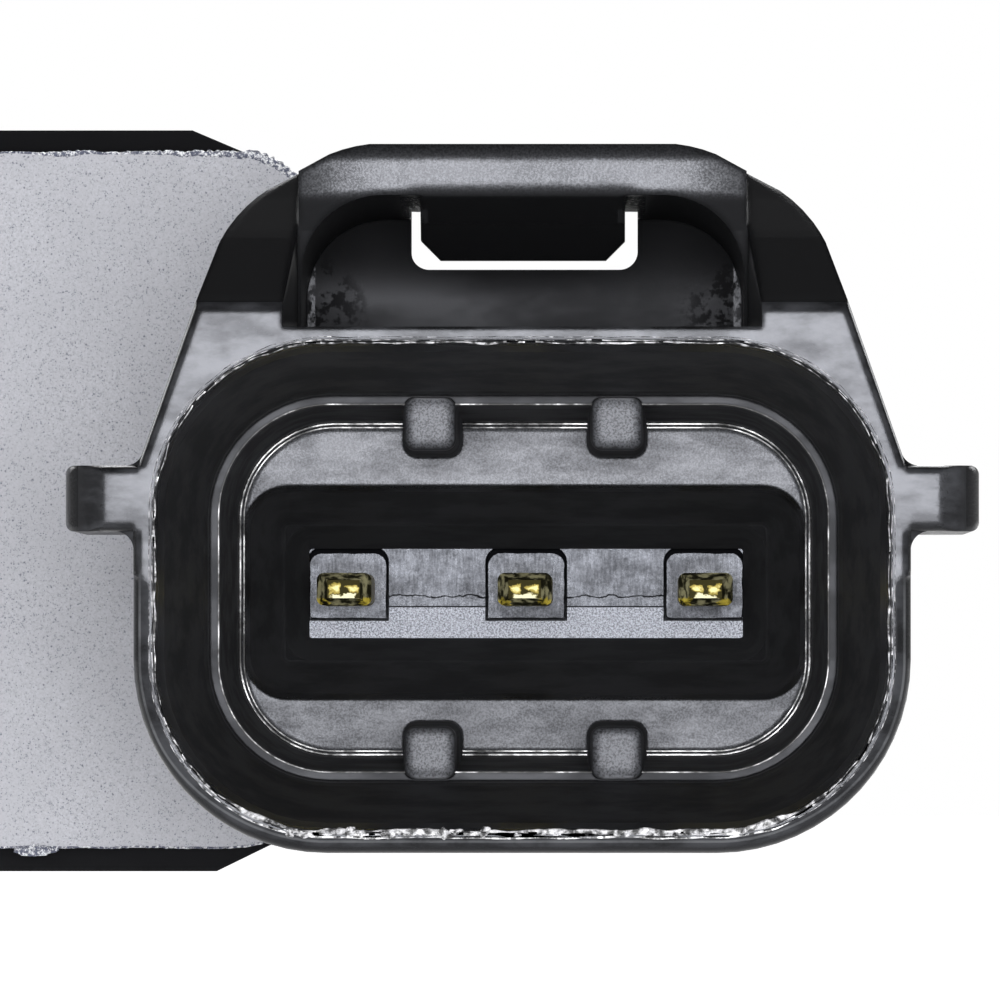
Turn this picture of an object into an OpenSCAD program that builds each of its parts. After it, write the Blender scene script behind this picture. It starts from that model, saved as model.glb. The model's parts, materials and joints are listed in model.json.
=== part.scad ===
// Transmission speed sensor: a moulded body with a plug socket on its front, a mounting
// plate beside it and a probe on its back. The shape is drawn upright, with the socket
// facing up, the bolt at the origin and the seating face at height 0, and is then laid so
// that the socket faces -Y and the probe points along +Y.

/* [Terminals] */
// Distance between neighbouring terminals
pin_pitch = 5; // [4.7:0.1:5.2]
// Width of a blade
pin_w = 1.5; // [1.2:0.05:1.7]
// Thickness of a blade
pin_t = 0.9; // [0.7:0.05:1.0]
// Length of a blade's coined point
pin_point = 1.1; // [0.7:0.1:1.6]
// Width of the flat left at the end of the point
pin_tip_w = 0.9; // [0.6:0.05:1.1]
// Height of the flat left at the end of the point
pin_tip_t = 0.5; // [0.3:0.05:0.6]
// Corner radius of a blade's section
pin_corner = 0.2; // [0.1:0.02:0.28]
// How far a blade stands out of the terminal block
pin_reach = 7; // [5.5:0.25:9]
// Distance between the posts behind the terminal block
post_pitch = 4; // [3.8:0.1:4.2]
// Width of the posts and lead strips inside the body
strip_w = 1.2; // [0.9:0.1:1.3]
// Thickness of the posts and lead strips
strip_t = 0.5; // [0.4:0.05:0.6]
// Distance between the lead strips where they enter the probe
strip_pitch = 2.2; // [2.0:0.1:2.4]
// Height of the lead strips above the seating face
strip_height = 2.9; // [2.6:0.1:3.2]

/* [Socket] */
// Outer width of the socket hood
hood_w = 20.9; // [20.6:0.1:21.4]
// Outer height of the socket hood
hood_h = 14.3; // [14.1:0.1:14.6]
// Corner radius of the hood
hood_r = 5.2; // [4.8:0.1:5.6]
// Rounding of the hood's outer edge at the mouth
rim_round = 0.42; // [0.3:0.02:0.45]
// Wall thickness at the mouth
rim_wall = 0.58; // [0.5:0.02:0.7]
// Wall thickness where the lead-in taper ends
taper_wall = 1.76; // [1.6:0.02:1.84]
// Depth at which the lead-in taper ends
taper_depth = 5; // [4:0.25:5.75]
// Wall thickness just in front of the ledge
ledge_wall = 1.9; // [1.86:0.02:2.0]
// Width of the ledge
ledge_w = 0.24; // [0.15:0.01:0.3]
// Depth of the ledge below the mouth
ledge_depth = 6.3; // [6:0.1:7.5]
// Wall thickness at the socket's floor
floor_wall = 2.5; // [2.4:0.02:2.6]
// Depth of the floor below the mouth
socket_depth = 12.5; // [11.5:0.25:13.5]
// Rounding between the socket's wall and its floor
floor_round = 0.3; // [0.2:0.05:0.4]
// Width of the pocket in the floor
pocket_w = 15.6; // [15.2:0.1:15.7]
// Height of the pocket in the floor
pocket_h = 5.94; // [5.8:0.02:6.4]
// Corner radius of the pocket
pocket_r = 1.25; // [1.2:0.05:1.6]
// Distance of the pocket's middle below the socket's
pocket_drop = 0.09; // [0:0.01:0.15]
// How far the pocket's wall leans in down to its step
pocket_lean = 1.1; // [0.9:0.05:1.15]
// Depth of the pocket's step below the floor
step_depth = 3; // [2:0.25:4]
// How far the wall leans in below the step
step_lean = 0.62; // [0.5:0.02:0.64]
// Corner radius of the pocket below the step
step_r = 0.7; // [0.65:0.05:0.9]
// Depth of the pocket below the floor
pocket_depth = 5.5; // [4.5:0.25:6.5]

/* [Key ribs] */
// Distance of a rib from the middle of the socket
rib_x = 2.55; // [2.3:0.05:2.9]
// Width of a rib
rib_w = 1.41; // [1.2:0.05:1.6]
// Height of the rib ends above the middle of the socket
rib_end = 3.77; // [3.6:0.02:4.0]
// Draft of a rib from its front to the floor
rib_draft = 0.13; // [0.05:0.01:0.2]
// Corner radius of a rib
rib_round = 0.3; // [0.25:0.05:0.5]
// Rounding round the front of a rib
rib_edge = 0.13; // [0.08:0.01:0.16]
// Distance between a rib's outer end and the wall in front of the ledge
rib_gap = 0.05; // [0.03:0.01:0.1]
// How far a rib stands in front of the ledge
rib_proud = 0.18; // [0.1:0.02:0.4]

/* [Latch cage] */
// Height of the cage's roof above the middle of the socket
roof_y = 12; // [11.8:0.1:12.3]
// Thickness of the roof over the latch slot
roof_t = 1.38; // [1.3:0.02:1.5]
// Half the length of the roof's flat
roof_flat = 3.7; // [3.4:0.05:4]
// Radius at the ends of the flat
roof_bend_r = 4; // [3:0.1:4.4]
// Slope of the roof's ends
roof_slope = 28.6; // [26:0.2:31]
// Distance from the middle at which the cheeks begin
cheek_x = 6.6; // [6.4:0.05:6.9]
// Radius of the cheeks' shoulders
cheek_r = 3.7; // [3.5:0.1:4.2]
// Lean of the cheeks' straight sides
cheek_lean = 70.6; // [69:0.2:73]
// Rounding of the cheeks' and wings' front edge
edge_round = 0.22; // [0.15:0.01:0.24]
// Rounding of the roof's front edge
roof_round = 0.4; // [0.3:0.02:0.6]
// Distance of the latch bar behind the mouth
bar_setback = 2.6; // [2.2:0.1:3.2]
// Height at which the cheeks start to slope back
ramp_start = 7.55; // [7.4:0.05:7.8]
// Slope of the cheeks behind the mouth
ramp_slope = 50; // [46:1:54]
// Rounding between the mouth's plane and the slope
ramp_round = 0.5; // [0.3:0.05:0.6]
// Depth of the cage behind the mouth
cage_depth = 11.4; // [10.5:0.1:13]
// Thickness of the cage's back wall
cage_back_t = 1.3; // [1:0.1:1.6]
// Gap between the cheeks at the mouth
gap_w = 12.9; // [12.7:0.05:13]
// Gap between the cheeks at the latch bar's face
gap_foot_w = 12.16; // [12.14:0.02:12.3]
// Width of the latch slot under the roof
slot_w = 12; // [11.8:0.05:12.1]
// Corner radius of the latch slot
slot_r = 2.2; // [1.9:0.1:2.5]
// How far the slot's top leans down to the back wall
slot_lean = 0.47; // [0.3:0.02:0.6]
// How far the slot's floor is cut into the hood
slot_sink = 0.15; // [0.05:0.01:0.2]
// Width of the latch tooth
tooth_w = 5.54; // [5.2:0.02:5.8]
// How far the tooth hangs below the roof
tooth_drop = 1.71; // [1.5:0.01:1.75]
// Length of the tooth's sloping lead-in
tooth_lead = 2; // [1.6:0.1:2.4]
// Length of the tooth's flat behind the lead-in
tooth_flat = 1; // [0.8:0.1:1.4]
// Chamfer of the tooth's corners
tooth_chamfer = 0.52; // [0.3:0.02:0.7]
// Gap between the tooth and the window's sides
window_gap = 0.35; // [0.25:0.05:0.45]
// Gap between the tooth and the window's lower edge
window_drop = 0.12; // [0.1:0.01:0.2]
// Distance of the window's upper edge below the slot's
window_head = 0.2; // [0.1:0.01:0.3]
// Corner radius of the window
window_r = 0.5; // [0.3:0.05:0.6]

/* [Side wings] */
// Reach of a wing from the middle of the socket
wing_reach = 12.3; // [12:0.1:12.8]
// Height of a wing's upper side
wing_top = 3.27; // [3.1:0.01:3.4]
// Height of a wing's lower side
wing_bottom = 1.5; // [1.4:0.05:1.7]
// Corner radius of a wing's end
wing_corner_r = 0.25; // [0.24:0.01:0.35]
// Radius at a wing's root
wing_root_r = 0.5; // [0.4:0.05:0.6]
// Radius by which a wing's end curves back from the mouth
wing_curl = 1.1; // [0.9:0.05:1.3]

/* [Flange] */
// Width of the flange block
flange_h = 21.2; // [20.8:0.1:21.8]
// Thickness of the flange block
flange_t = 6; // [5.6:0.1:7]
// Distance from the bolt to the probe
bolt_to_probe = 19; // [18.5:0.25:21]
// Distance from the probe to the middle of the socket
probe_to_plug = 11; // [10.6:0.1:11.8]
// Distance of the socket's middle below the flange's centre line
plug_drop = 2.6; // [2.4:0.1:2.8]
// Where the upper chamfer starts, left of the socket's middle
upper_taper_x = 9.6; // [9.4:0.1:10]
// Angle of the upper chamfer
upper_taper = 23; // [21:0.5:25]
// Where the lower chamfer starts, left of the socket's middle
lower_taper_x = 8.9; // [8.7:0.1:9.3]
// Angle of the lower chamfer
lower_taper = 26; // [24:0.5:28]
// Distance of the neck's left side from the socket's middle
neck_left = 5.3; // [5:0.1:5.6]
// Distance of the neck's right side from the socket's middle
neck_right = 7.2; // [6.8:0.1:7.6]
// Half the height of the neck
neck_half = 6.2; // [5.8:0.1:6.4]
// Corner radius of the neck
neck_r = 1.5; // [1:0.1:2]
// How far the neck's back lies in front of the seating face
neck_recess = 1; // [0.6:0.1:1.4]
// Gap between the mounting plate and the back of the hood
hood_gap = 3; // [2.5:0.25:4]
// Thickness of the hood's back wall behind the pocket
hood_back = 3; // [2.5:0.25:4]

/* [Mounting plate] */
// Thickness of the plate
plate_t = 2; // [1.6:0.1:2.4]
// Width of the plate
plate_h = 19.8; // [19.4:0.1:20.2]
// Corner radius of the plate's right end
plate_r = 3; // [2.5:0.1:3.5]
// Gap between the plate and the neck
plate_gap = 0.15; // [0.1:0.05:0.3]
// Bore for the bolt
bolt_bore = 6.6; // [6.4:0.1:6.8]
// Outer diameter of the bush around the bolt
bush_d = 9.6; // [9.2:0.1:10]

/* [Probe] */
// Length of the probe below the seating face
probe_len = 19.4; // [19:0.2:22]
// Diameter of the probe's root
root_d = 16; // [15.8:0.1:16.4]
// Length of the probe's root
root_len = 7; // [6.6:0.1:8]
// Diameter of the probe's nose
nose_d = 15.2; // [15:0.05:15.6]
// Chamfer at the end of the nose
nose_chamfer = 0.5; // [0.3:0.05:0.6]
// Bore inside the probe
bore_d = 11.2; // [11.1:0.05:11.4]
// Height of the bore above the seating face
bore_top = 4.2; // [4:0.1:4.6]
// Start of the O-ring groove below the seating face
groove_start = 2.6; // [2.2:0.1:3]
// Width of the O-ring groove
groove_w = 2.4; // [2.2:0.05:2.6]
// Diameter at the bottom of the groove
groove_d = 13.4; // [13.2:0.1:13.6]
// Thickness of the O-ring
ring_d = 1.8; // [1.7:0.05:1.9]
// Diameter of the cap in the nose
cap_d = 13; // [12.6:0.1:13.2]
// Thickness of the cap
cap_t = 1; // [0.8:0.05:1.2]

/* [Sensing parts] */
// Gap between the cap and the chip
chip_gap = 0.1; // [0.05:0.05:0.2]
// Size of the chip across its leads
chip_w = 4.4; // [4.2:0.1:4.6]
// Size of the chip along its leads
chip_l = 3.4; // [3.2:0.1:3.6]
// Thickness of the chip
chip_t = 1.6; // [1.4:0.05:1.8]
// Distance between the chip's leads
lead_pitch = 1.27; // [1.2:0.01:1.35]
// Width of a chip lead
lead_w = 0.4; // [0.3:0.02:0.5]
// Thickness of a chip lead
lead_t = 0.4; // [0.3:0.02:0.45]
// Length of a chip lead along the board
lead_on_board = 5; // [3:0.25:5.5]
// Diameter of the magnet
magnet_d = 4.8; // [4.4:0.1:5]
// Length of the magnet
magnet_len = 5.5; // [4.5:0.25:6]
// Thickness of the pole piece
pole_t = 0.8; // [0.6:0.1:1]
// Play between the sensing parts and the holder
part_gap = 0.05; // [0.03:0.01:0.08]
// Distance of the board's seat from the probe's axis
board_seat = 2.85; // [2.8:0.05:3.1]
// Width of the circuit board
board_w = 8; // [7.6:0.1:8.2]
// Thickness of the circuit board
board_t = 0.8; // [0.7:0.05:0.9]
// Height of the board's top above the seating face
board_top = 1.6; // [1.2:0.1:2]
// Thickness of the holder's foot around the chip
foot_len = 3.4; // [3.2:0.1:3.8]
// Length of a terminal's leg along the board
leg_on_board = 4.4; // [3.6:0.1:4.8]

/* [Hidden] */
$fn = 64;
// Distance of the latch bar's ends inside the gap between the cheeks
bar_inset = 0.02;
// How far the round on the roof's edge runs past the latch bar's face
bar_rise = 0.03;
// Extra length by which a cutter runs past the surface that it cuts
past = 1;
// The same for the rounds on edges, less than the smallest radius that they follow
lip = 0.2;

// Places along the flange and heights above the seating face
probe_x = bolt_to_probe;
plug_x = probe_x + probe_to_plug;
plug_y = -plug_drop;
plate_z = flange_t;
back_z = flange_t + plate_t + hood_gap;
pocket_z = back_z + hood_back;
floor_z = pocket_z + pocket_depth;
mouth_z = floor_z + socket_depth;
ledge_z = mouth_z - ledge_depth;
bar_z = mouth_z - bar_setback;
cage_z = mouth_z - cage_depth;
pin_tip_z = pocket_z + pin_reach;
nose_z = -probe_len;
cap_z = nose_z + cap_t;
chip_z = cap_z + chip_gap;
pole_z = chip_z + chip_t;
magnet_z = pole_z + pole_t;
board_z = cap_z + foot_len;
board_x = probe_x + board_seat;
solder_x = board_x + board_t;

// Terminal block behind the bottom of the pocket
strip_face_w = pocket_w - 2 * (pocket_lean + step_lean);
strip_face_h = pocket_h - 2 * (pocket_lean + step_lean);
block_margin = 0.6;
block_depth = 2.6;
jog_depth = 1.6;
jog_z = pocket_z - jog_depth;
pad_w = 2.14;
pad_low = -0.78;
pad_high = 1.04;
pad_r = 0.35;
pad_groove = 0.08;
pad_head = 0.1;
pad_groove_depth = 0.4;

// Latch slot and tooth
slot_top = roof_y - roof_t;
tooth_bottom = slot_top - tooth_drop;
window_top = slot_top - window_head;
hood_top = hood_h / 2;
slot_floor = hood_top - slot_sink;

module laid() { rotate([90, 0, 0]) children(); }
module at_plug() { translate([plug_x, plug_y, 0]) children(); }
module at_probe() { translate([probe_x, 0, 0]) children(); }

// Swept outlines. A path is a list of steps: [length] goes straight on, [radius, turn] goes
// round an arc, turning left if turn is positive. A pose is [x, y, heading].
function side(turn) = turn > 0 ? 1 : -1;
function arc_centre(pose, step) =
    [pose.x - side(step[1]) * step[0] * sin(pose[2]), pose.y + side(step[1]) * step[0] * cos(pose[2])];
function next_pose(pose, step) =
    len(step) == 1
    ? [pose.x + step[0] * cos(pose[2]), pose.y + step[0] * sin(pose[2]), pose[2]]
    : let (c = arc_centre(pose, step), h = pose[2] + step[1], s = side(step[1]))
      [c.x + s * step[0] * sin(h), c.y - s * step[0] * cos(h), h];
function poses(pose, path, i = 0) =
    i == len(path) ? [pose] : concat([pose], poses(next_pose(pose, path[i]), path, i + 1));

// A round is this much larger than the tangent one, so that it crosses its sides cleanly
ease = 1.006;

function spot(pose) = [pose.x, pose.y];
// The sharp corner that an arc rounds off
function corner(pose, step) = spot(pose) + step[0] * tan(abs(step[1]) / 2) * [cos(pose[2]), sin(pose[2])];
// The corners of a path, with its two ends
function corners(start, path) =
    let (p = poses(start, path))
    concat([spot(start)], [for (i = [0:len(path) - 1]) if (len(path[i]) == 2) corner(p[i], path[i])],
           [spot(p[len(path)])]);

// The area outside an arc's disc, between its two end radii
module beyond_arc(pose, step) {
    c = arc_centre(pose, step);
    first = pose[2] - side(step[1]) * 90;
    low = min(first, first + step[1]);
    reach = 2 * step[0];
    difference() {
        polygon([c, for (k = [0, 0.5, 1], a = low + k * abs(step[1])) c + reach * [cos(a), sin(a)]]);
        translate(c) circle(ease * step[0]);
    }
}

// The area inside a path that runs clockwise, closed through the points given
module outline(start, path, closing) {
    p = poses(start, path);
    rim = concat(corners(start, path), closing);
    difference() {
        union() {
            polygon([for (i = [len(rim) - 1:-1:0]) rim[i]]);
            for (i = [0:len(path) - 1]) if (len(path[i]) == 2 && path[i][1] > 0) beyond_arc(p[i], path[i]);
        }
        for (i = [0:len(path) - 1]) if (len(path[i]) == 2 && path[i][1] < 0) beyond_arc(p[i], path[i]);
    }
}

// A cutter with the section of its child, run along a path's sides and round its outer corners.
// In the section, +X points out of the shape that the path goes round, and +Y points up.
module run_along(start, path) {
    p = poses(start, path);
    q = corners(start, path);
    for (i = [0:len(q) - 2]) {
        way = q[i + 1] - q[i];
        translate([q[i].x, q[i].y, 0]) rotate([0, 0, atan2(way.y, way.x)]) rotate([90, 0, 90])
            linear_extrude(norm(way)) children();
    }
    for (i = [0:len(path) - 1]) if (len(path[i]) == 2 && path[i][1] < 0)
        translate(arc_centre(p[i], path[i])) rotate([0, 0, p[i][2] + path[i][1] + 90])
            rotate_extrude(angle = -path[i][1]) translate([ease * path[i][0], 0]) children();
}

// A block with rounded corners whose wall has the section of the child. The section is drawn
// from the corners' centre line at X = 0 out to the wall, between the heights low and high.
module walled_block(w, h, r, low, high) {
    half_x = w / 2 - r;
    half_y = h / 2 - r;
    module both_walls(half) {
        translate([half, 0]) children();
        mirror([1, 0]) translate([half, 0]) children();
        translate([-half, low]) square([2 * half, high - low]);
    }
    rotate([90, 0, 90]) linear_extrude(2 * half_x, center = true) both_walls(half_y) children();
    rotate([90, 0, 0]) linear_extrude(2 * half_y, center = true) both_walls(half_x) children();
    for (q = [[1, 1, 0], [-1, 1, 90], [-1, -1, 180], [1, -1, 270]])
        translate([q.x * half_x, q.y * half_y, 0]) rotate([0, 0, q.z]) rotate_extrude(angle = 90) children();
}

// A slab with rounded corners, seen from above, from height low to height high
module rounded_slab(w, h, r, low, high) {
    translate([0, 0, low]) linear_extrude(high - low) rounded_rect(w, h, r);
}

module rounded_rect(w, h, r) {
    square([w, h - 2 * r], center = true);
    square([w - 2 * r, h], center = true);
    for (x = [-1, 1], y = [-1, 1]) translate([x * (w / 2 - r), y * (h / 2 - r)]) circle(r);
}

// Outer form of the socket, from its back to the rounded rim
module hood_shell() {
    rear_round = 0.8;
    walled_block(hood_w, hood_h, hood_r, back_z, mouth_z) {
        difference() {
            translate([0, back_z]) square([hood_r, mouth_z - back_z]);
            translate([hood_r, mouth_z]) edge_cut(rim_round);
            translate([hood_r, back_z]) mirror([0, 1]) edge_cut(rear_round);
        }
    }
}

// What a round of size r takes off a corner at the origin, whose faces run to -X and -Y. Its arc
// meets both faces at a slight angle, as a mould's edge does.
module edge_cut(r) {
    deep = 1.15 * r;
    difference() {
        translate([-r, -r]) square(r + lip);
        translate([-deep, -deep]) circle(norm([deep, deep - r]));
    }
}

// The hollow of the socket: lead-in taper, ledge, inner wall and rounded floor
module socket_hollow() {
    floor_x = hood_r - floor_wall;
    walled_block(hood_w, hood_h, hood_r, floor_z, mouth_z + past) {
        polygon([[0, floor_z], [floor_x - floor_round, floor_z], [floor_x, floor_z + floor_round],
                 [hood_r - ledge_wall - ledge_w, ledge_z], [hood_r - ledge_wall, ledge_z],
                 [hood_r - taper_wall, mouth_z - taper_depth], [hood_r - rim_wall, mouth_z],
                 [hood_r - rim_wall, mouth_z + past], [0, mouth_z + past]]);
        translate([floor_x - floor_round, floor_z + floor_round]) circle(floor_round);
    }
}

// The pocket in the floor, down to the terminal block
module pocket_hollow() {
    step_z = floor_z - step_depth;
    walled_block(pocket_w, pocket_h, pocket_r, step_z, floor_z + past)
        polygon([[0, step_z], [pocket_r - pocket_lean, step_z], [pocket_r, floor_z],
                 [pocket_r, floor_z + past], [0, floor_z + past]]);
    walled_block(pocket_w - 2 * pocket_lean, pocket_h - 2 * pocket_lean, step_r, pocket_z, step_z)
        polygon([[0, pocket_z], [step_r - step_lean, pocket_z], [step_r, step_z], [0, step_z]]);
}

// A key rib on the upper wall of the socket, narrowing towards its rounded front
module key_rib() {
    front_z = ledge_z + rib_proud;
    foot_z = floor_z - rib_round;
    foot = rib_round + rib_draft;
    low_y = rib_end - rib_draft;
    high_y = hood_h / 2 - ledge_wall - rib_gap + rib_draft;
    translate([0, (low_y + high_y) / 2, 0]) walled_block(rib_w + 2 * rib_draft, high_y - low_y, foot, foot_z, front_z) {
        polygon([[0, foot_z], [foot, foot_z], [rib_round, front_z - rib_edge], [rib_round - rib_edge, front_z],
                 [0, front_z]]);
        translate([rib_round - rib_edge, front_z - rib_edge]) circle(rib_edge);
    }
}

// The path round the right half of the cage, cheek and wing, clockwise from the roof's middle
roof_start = [0, roof_y, 0];
roof_steps = [[roof_flat], [roof_bend_r, -roof_slope]];
roof_bend = poses(roof_start, roof_steps)[2];
roof_path = concat(roof_steps, [[(cheek_x - roof_bend.x) / cos(roof_slope)]]);
cheek_start = poses(roof_start, roof_path)[3];
cheek_arc = [cheek_r, roof_slope - cheek_lean];
cheek_top = next_pose(cheek_start, cheek_arc);
root_drop = wing_root_r * (1 - cos(cheek_lean));
cheek_side = (cheek_top.y - wing_top - root_drop) / sin(cheek_lean);
wing_root = poses(cheek_top, [[cheek_side], [wing_root_r, cheek_lean]])[2];
wing_path = [[cheek_side], [wing_root_r, cheek_lean],
             [wing_reach - wing_corner_r - wing_root.x], [wing_corner_r, -90],
             [wing_top - wing_bottom - 2 * wing_corner_r], [wing_corner_r, -90],
             [wing_reach - wing_corner_r - hood_w / 2 - wing_root_r], [wing_root_r, 90]];
shoulder_end = 0.35;
shoulder_start = poses(cheek_top, wing_path)[8];
shoulder_path = concat(wing_path, [[shoulder_start.y - shoulder_end]]);
cage_path = concat(roof_path, [cheek_arc], shoulder_path);

module cage_half() {
    linear_extrude(cage_depth) outline(roof_start, cage_path, [[hood_w / 2 - rim_wall, 0], [0, 0]]);
}

// Side view of the cage: the shoulder at the mouth and the slope, with room for the latch bar
module cage_side() {
    high = roof_y + past;
    low_z = mouth_z - (high - ramp_start) * tan(ramp_slope);
    reach = ramp_round * tan(ramp_slope / 2);
    rotate([90, 0, 90]) {
        linear_extrude(4 * wing_reach, center = true) difference() {
            polygon([[-past, cage_z], [high, cage_z], [high, low_z], [ramp_start, mouth_z], [-past, mouth_z]]);
            beyond_arc([ramp_start - reach, mouth_z, 0], [ramp_round, -ramp_slope]);
        }
        linear_extrude(gap_foot_w - 2 * bar_inset, center = true)
            translate([slot_floor, cage_z]) square([high - slot_floor, mouth_z - cage_z - past]);
    }
}

// Rounds the front edges of the cage, cheeks and wings
module cage_edges() {
    translate([0, 0, bar_z + bar_rise]) run_along(roof_start, roof_path) edge_cut(roof_round);
    translate([0, 0, mouth_z]) run_along(cheek_top, shoulder_path) edge_cut(edge_round);
    translate([wing_reach, past + wing_top, mouth_z]) rotate([90, 0, 0])
        linear_extrude(wing_top - wing_bottom + 2 * past) edge_cut(wing_curl);
}

// The latch slot under the leaning roof, and the gap between the cheeks in front of the bar
module slot_hollow() {
    end_z = cage_z + cage_back_t;
    run = bar_z - end_z;
    intersection() {
        translate([0, slot_top, bar_z]) rotate([-atan2(slot_lean, run), 0, 0]) translate([0, -slot_w / 2, 0])
            rounded_slab(slot_w, slot_w, slot_r, -run - past, past);
        translate([-slot_w, slot_floor, end_z]) cube([2 * slot_w, roof_y, run + past]);
    }
    flare = (gap_w - gap_foot_w) / 2 / bar_setback;
    translate([0, roof_y + past, 0]) rotate([90, 0, 0]) linear_extrude(roof_y + past - slot_floor)
        polygon([[-gap_foot_w / 2, bar_z], [gap_foot_w / 2, bar_z], [gap_w / 2 + flare * past, mouth_z + past],
                 [-gap_w / 2 - flare * past, mouth_z + past]]);
}

// The window behind the tooth, through the cage's back wall
module window_hollow() {
    w = tooth_w + 2 * window_gap;
    low = tooth_bottom - window_drop;
    translate([0, 0, cage_z - past]) linear_extrude(tooth_back_z() - cage_z + past) {
        translate([-w / 2, low + window_r]) square([w, window_top - low - window_r]);
        translate([-w / 2 + window_r, low]) square([w - 2 * window_r, 2 * window_r]);
        for (x = [-1, 1]) translate([x * (w / 2 - window_r), low + window_r]) circle(window_r);
    }
}

function tooth_back_z() = bar_z - tooth_lead - tooth_flat;

module latch_tooth() {
    root = roof_t / 2;
    intersection() {
        rotate([90, 0, 90]) linear_extrude(tooth_w, center = true)
            polygon([[slot_top + root, bar_z], [slot_top, bar_z], [tooth_bottom, bar_z - tooth_lead],
                     [tooth_bottom, tooth_back_z()], [slot_top + root, tooth_back_z()]]);
        translate([0, 0, tooth_back_z() - past]) linear_extrude(mouth_z)
            polygon([[-tooth_w / 2, roof_y], [-tooth_w / 2, tooth_bottom + tooth_chamfer],
                     [-tooth_w / 2 + tooth_chamfer, tooth_bottom], [tooth_w / 2 - tooth_chamfer, tooth_bottom],
                     [tooth_w / 2, tooth_bottom + tooth_chamfer], [tooth_w / 2, roof_y]]);
    }
}

// The latch cage with its cheeks and wings, before the hollows
module cage() {
    difference() {
        intersection() {
            translate([0, 0, cage_z]) {
                cage_half();
                mirror([1, 0, 0]) cage_half();
            }
            cage_side();
        }
        cage_edges();
        mirror([1, 0, 0]) cage_edges();
    }
}

module flange_block() {
    half = flange_h / 2;
    weld = 0.7;
    end_x = plug_x - neck_left + weld;
    upper_x = plug_x - upper_taper_x;
    lower_x = plug_x - lower_taper_x;
    linear_extrude(flange_t) {
        circle(half);
        polygon([[0, -half], [lower_x, -half], [end_x, -half + (end_x - lower_x) * tan(lower_taper)],
                 [end_x, half - (end_x - upper_x) * tan(upper_taper)], [upper_x, half], [0, half]]);
    }
}

module neck() {
    w = neck_left + neck_right;
    translate([(neck_right - neck_left) / 2, 0, 0])
        rounded_slab(w, 2 * neck_half, neck_r, neck_recess, pocket_z);
}

// The probe's tube with its root, its nose and the end chamfer
module probe_tube() {
    rotate_extrude() polygon([[0, flange_t / 2], [root_d / 2, flange_t / 2], [root_d / 2, -root_len],
                              [nose_d / 2, -root_len - (root_d - nose_d) / 2], [nose_d / 2, nose_z + nose_chamfer],
                              [nose_d / 2 - nose_chamfer, nose_z], [0, nose_z]]);
}

module probe_hollow() {
    translate([0, 0, nose_z - past]) cylinder(d = bore_d, h = bore_top - nose_z + past);
    translate([0, 0, nose_z - past]) cylinder(d = cap_d, h = cap_t + past);
    rotate_extrude() translate([groove_d / 2, -groove_start - groove_w]) square([root_d, groove_w]);
}

module housing_solid() {
    difference() {
        union() {
            flange_block();
            at_plug() neck();
            at_plug() hood_shell();
            at_plug() cage();
            at_probe() probe_tube();
        }
        at_plug() socket_hollow();
        at_plug() translate([0, -pocket_drop, 0]) pocket_hollow();
        at_plug() slot_hollow();
        at_plug() window_hollow();
        at_probe() probe_hollow();
        translate([0, 0, -past]) cylinder(d = bush_d, h = flange_t + 2 * past);
        at_plug() block_body();
        for (i = [-1:1]) terminal(i);
    }
}

module housing() {
    color([0.1, 0.1, 0.11]) laid() {
        housing_solid();
        at_plug() {
            latch_tooth();
            for (x = [-1, 1], m = [0, 1]) mirror([0, m, 0]) translate([x * rib_x, 0, 0]) key_rib();
        }
    }
}

module mounting_plate() {
    end_x = plug_x - neck_left - plate_gap;
    color([0.74, 0.75, 0.77]) laid() translate([0, 0, plate_z]) linear_extrude(plate_t) difference() {
        union() {
            circle(plate_h / 2);
            translate([0, -plate_h / 2]) square([end_x - plate_r, plate_h]);
            translate([end_x / 2, 0]) square([end_x, plate_h - 2 * plate_r], center = true);
            for (y = [-1, 1]) translate([end_x - plate_r, y * (plate_h / 2 - plate_r)]) circle(plate_r);
        }
        circle(d = bush_d);
    }
}

module bolt_bush() {
    color([0.78, 0.78, 0.8]) laid() difference() {
        cylinder(d = bush_d, h = flange_t + plate_t);
        translate([0, 0, -past]) cylinder(d = bolt_bore, h = flange_t + plate_t + 2 * past);
    }
}

module block_body() {
    translate([0, 0, pocket_z - block_depth]) linear_extrude(block_depth)
        square([strip_face_w + 2 * block_margin, strip_face_h + 2 * block_margin], center = true);
}

// The outline of a terminal's pad, with round upper corners, made larger all round
module pad_outline(more, head) {
    h = pad_high - pad_low + 2 * more;
    translate([0, pad_low - more + (h + head) / 2]) rounded_rect(pad_w + 2 * more, h + head, pad_r + more);
    translate([0, pad_low - more + h / 4]) square([pad_w + 2 * more, h / 2], center = true);
}

// The groove round a terminal's pad, wider over its top
module pad_groove_cut() {
    translate([0, 0, pocket_z - pad_groove_depth]) linear_extrude(pad_groove_depth + past) difference() {
        pad_outline(pad_groove, pad_head);
        pad_outline(0, 0);
    }
}

module terminal_block() {
    color([0.35, 0.35, 0.37]) laid() difference() {
        at_plug() block_body();
        at_plug() for (i = [-1:1]) translate([i * pin_pitch, 0, 0]) pad_groove_cut();
        for (i = [-1:1]) terminal(i);
    }
}

// A blade with its coined point, down to its foot in the terminal block
module blade() {
    low = jog_z;
    point_z = pin_tip_z - pin_point;
    module wedge(w, tip) {
        polygon([[-w / 2, low], [w / 2, low], [w / 2, point_z], [tip / 2, pin_tip_z], [-tip / 2, pin_tip_z],
                 [-w / 2, point_z]]);
    }
    intersection() {
        rotate([90, 0, 0]) linear_extrude(2 * pin_t, center = true) wedge(pin_w + 2 * lip, pin_tip_w);
        rotate([90, 0, 90]) linear_extrude(2 * pin_w, center = true) wedge(pin_t + 2 * lip, pin_tip_t);
        rounded_slab(pin_w, pin_t, pin_corner, low, pin_tip_z + past);
    }
}

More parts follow.
